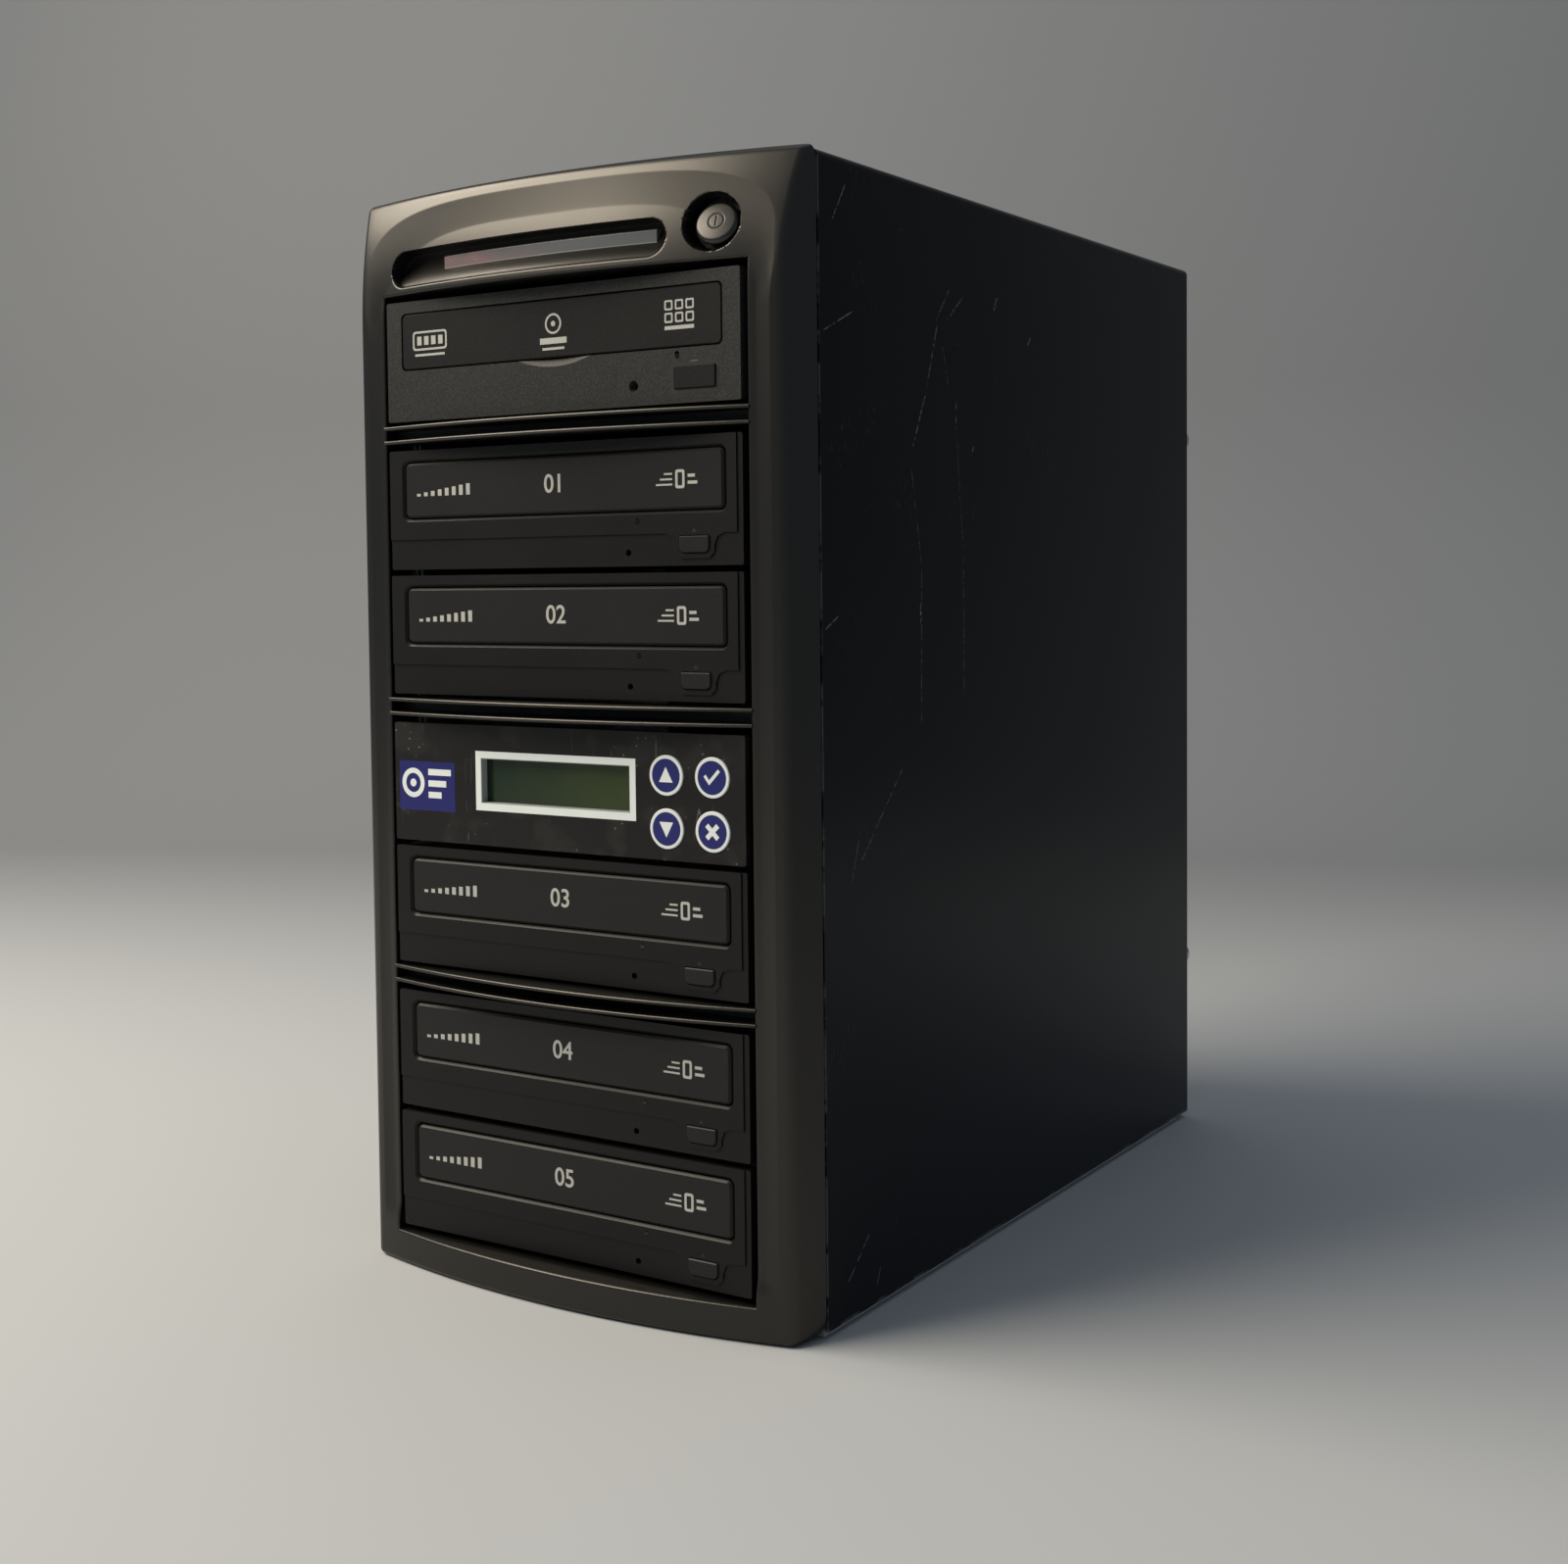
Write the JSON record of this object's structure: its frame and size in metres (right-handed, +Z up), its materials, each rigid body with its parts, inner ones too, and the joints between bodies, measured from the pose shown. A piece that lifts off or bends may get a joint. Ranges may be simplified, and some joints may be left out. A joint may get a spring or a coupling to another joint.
{
  "type": "disc duplicator tower",
  "caption": "Upright disc copier: bowed plastic front with stacked tray drives, small display with keys, and a steel hood over the sides and top",
  "frame": {"origin": "middle of the bounding box, on the surface that the tower stands on", "axes": "+Z up, +X to the right seen from the front, -Y towards the front"},
  "size_m": [0.1874, 0.3434, 0.3778],
  "materials": {
    "bezel_plastic": "pewter grey, satin gloss",
    "clear_bar": "clear moulded light bar",
    "pewter_cap": "pewter cap in a gloss dish",
    "board_green": "printed circuit board",
    "black_paint": "gloss black with fine scratches",
    "zinc_screws": "zinc plated",
    "bare_steel": "zinc coated sheet",
    "rubber_pad": "matt",
    "drive_steel": "plated sheet",
    "drive_plastic": "black, fine texture",
    "tray_plastic": "black",
    "deck_plastic": "dark grey moulding",
    "window_glass": "clear sheet over a dark green display",
    "key_blue": "blue, satin",
    "inlet_plastic": "black",
    "rocker_plastic": "black",
    "chrome_wire": "plated wire",
    "cable_sleeve": "dull red and black sleeve"
  },
  "bodies": {
    "tower": {"front_bezel": "bezel_plastic", "light_bar": "clear_bar", "power_switch": "board_green", "chassis_base": "bare_steel", "rubber_pads": "rubber_pad", "front_frame": "bare_steel", "rear_panel": "bare_steel", "drive_rails": "bare_steel", "drive_decks": "deck_plastic", "display_plate": "drive_plastic", "display_window": "window_glass", "lcd_module": "board_green", "controller_board": "board_green", "psu_case": "drive_steel", "psu_board": "board_green", "power_inlet": "inlet_plastic", "fan_frames": "inlet_plastic", "fan_guards": "chrome_wire", "screws": "zinc_screws", "internal_cables": "cable_sleeve", "reader_case": "drive_steel", "reader_faceplate": "drive_plastic", "writer_1_case": "drive_steel", "writer_1_faceplate": "drive_plastic", "writer_2_case": "drive_steel", "writer_2_faceplate": "drive_plastic", "writer_3_case": "drive_steel", "writer_3_faceplate": "drive_plastic", "writer_4_case": "drive_steel", "writer_4_faceplate": "drive_plastic", "writer_5_case": "drive_steel", "writer_5_faceplate": "drive_plastic"},
    "reader_tray_body": {"reader_tray": "tray_plastic", "reader_tray_door": "drive_plastic"},
    "reader_eject_body": {"reader_eject_button": "drive_plastic"},
    "writer_1_tray_body": {"writer_1_tray": "tray_plastic", "writer_1_tray_door": "drive_plastic"},
    "writer_1_eject_body": {"writer_1_eject_button": "drive_plastic"},
    "writer_2_tray_body": {"writer_2_tray": "tray_plastic", "writer_2_tray_door": "drive_plastic"},
    "writer_2_eject_body": {"writer_2_eject_button": "drive_plastic"},
    "writer_3_tray_body": {"writer_3_tray": "tray_plastic", "writer_3_tray_door": "drive_plastic"},
    "writer_3_eject_body": {"writer_3_eject_button": "drive_plastic"},
    "writer_4_tray_body": {"writer_4_tray": "tray_plastic", "writer_4_tray_door": "drive_plastic"},
    "writer_4_eject_body": {"writer_4_eject_button": "drive_plastic"},
    "writer_5_tray_body": {"writer_5_tray": "tray_plastic", "writer_5_tray_door": "drive_plastic"},
    "writer_5_eject_body": {"writer_5_eject_button": "drive_plastic"},
    "power_button_body": {"power_button": "pewter_cap"},
    "key_up_body": {"key_up": "key_blue"},
    "key_enter_body": {"key_enter": "key_blue"},
    "key_down_body": {"key_down": "key_blue"},
    "key_escape_body": {"key_escape": "key_blue"},
    "psu_fan_body": {"psu_fan_rotor": "inlet_plastic"},
    "case_fan_body": {"case_fan_rotor": "inlet_plastic"},
    "rocker_body": {"power_rocker": "rocker_plastic"},
    "hood_body": {"hood": "black_paint", "thumbscrews": "zinc_screws"}
  },
  "joints": [
    {"name": "reader_tray_slide", "type": "slide", "parent": "tower", "child": "reader_tray_body", "axis": [0, -1, 0], "range_m": [0, 0.136]},
    {"name": "reader_eject_press", "type": "slide", "parent": "tower", "child": "reader_eject_body", "axis": [0, 1, 0], "range_m": [0, 0.001], "stiffness_N_per_m": 600, "springref_m": -0.0005},
    {"name": "writer_1_tray_slide", "type": "slide", "parent": "tower", "child": "writer_1_tray_body", "axis": [0, -1, 0], "range_m": [0, 0.136]},
    {"name": "writer_1_eject_press", "type": "slide", "parent": "tower", "child": "writer_1_eject_body", "axis": [0, 1, 0], "range_m": [0, 0.001], "stiffness_N_per_m": 600, "springref_m": -0.0005},
    {"name": "writer_2_tray_slide", "type": "slide", "parent": "tower", "child": "writer_2_tray_body", "axis": [0, -1, 0], "range_m": [0, 0.136]},
    {"name": "writer_2_eject_press", "type": "slide", "parent": "tower", "child": "writer_2_eject_body", "axis": [0, 1, 0], "range_m": [0, 0.001], "stiffness_N_per_m": 600, "springref_m": -0.0005},
    {"name": "writer_3_tray_slide", "type": "slide", "parent": "tower", "child": "writer_3_tray_body", "axis": [0, -1, 0], "range_m": [0, 0.136]},
    {"name": "writer_3_eject_press", "type": "slide", "parent": "tower", "child": "writer_3_eject_body", "axis": [0, 1, 0], "range_m": [0, 0.001], "stiffness_N_per_m": 600, "springref_m": -0.0005},
    {"name": "writer_4_tray_slide", "type": "slide", "parent": "tower", "child": "writer_4_tray_body", "axis": [0, -1, 0], "range_m": [0, 0.136]},
    {"name": "writer_4_eject_press", "type": "slide", "parent": "tower", "child": "writer_4_eject_body", "axis": [0, 1, 0], "range_m": [0, 0.001], "stiffness_N_per_m": 600, "springref_m": -0.0005},
    {"name": "writer_5_tray_slide", "type": "slide", "parent": "tower", "child": "writer_5_tray_body", "axis": [0, -1, 0], "range_m": [0, 0.136]},
    {"name": "writer_5_eject_press", "type": "slide", "parent": "tower", "child": "writer_5_eject_body", "axis": [0, 1, 0], "range_m": [0, 0.001], "stiffness_N_per_m": 600, "springref_m": -0.0005},
    {"name": "power_button_press", "type": "slide", "parent": "tower", "child": "power_button_body", "axis": [-0.169, 0.9117, -0.3746], "range_m": [0, 0.002], "stiffness_N_per_m": 500, "springref_m": -0.0005},
    {"name": "key_up_press", "type": "slide", "parent": "tower", "child": "key_up_body", "axis": [0, 1, 0], "range_m": [0, 0.0005], "stiffness_N_per_m": 900, "springref_m": -0.0002},
    {"name": "key_enter_press", "type": "slide", "parent": "tower", "child": "key_enter_body", "axis": [0, 1, 0], "range_m": [0, 0.0005], "stiffness_N_per_m": 900, "springref_m": -0.0002},
    {"name": "key_down_press", "type": "slide", "parent": "tower", "child": "key_down_body", "axis": [0, 1, 0], "range_m": [0, 0.0005], "stiffness_N_per_m": 900, "springref_m": -0.0002},
    {"name": "key_escape_press", "type": "slide", "parent": "tower", "child": "key_escape_body", "axis": [0, 1, 0], "range_m": [0, 0.0005], "stiffness_N_per_m": 900, "springref_m": -0.0002},
    {"name": "psu_fan_spin", "type": "hinge", "parent": "tower", "child": "psu_fan_body", "pos_m": [0.02, 0.15035, 0.33], "axis": [0, 1, 0], "continuous": true},
    {"name": "case_fan_spin", "type": "hinge", "parent": "tower", "child": "case_fan_body", "pos_m": [0, 0.15135, 0.0745], "axis": [0, 1, 0], "continuous": true},
    {"name": "power_rocker_tip", "type": "hinge", "parent": "tower", "child": "rocker_body", "pos_m": [-0.048, 0.16135, 0.342], "axis": [0, 0, -1], "range_deg": [0, 14]},
    {"name": "hood_slide", "type": "slide", "parent": "tower", "child": "hood_body", "axis": [0, 1, 0], "range_m": [0, 0.3]}
  ]
}
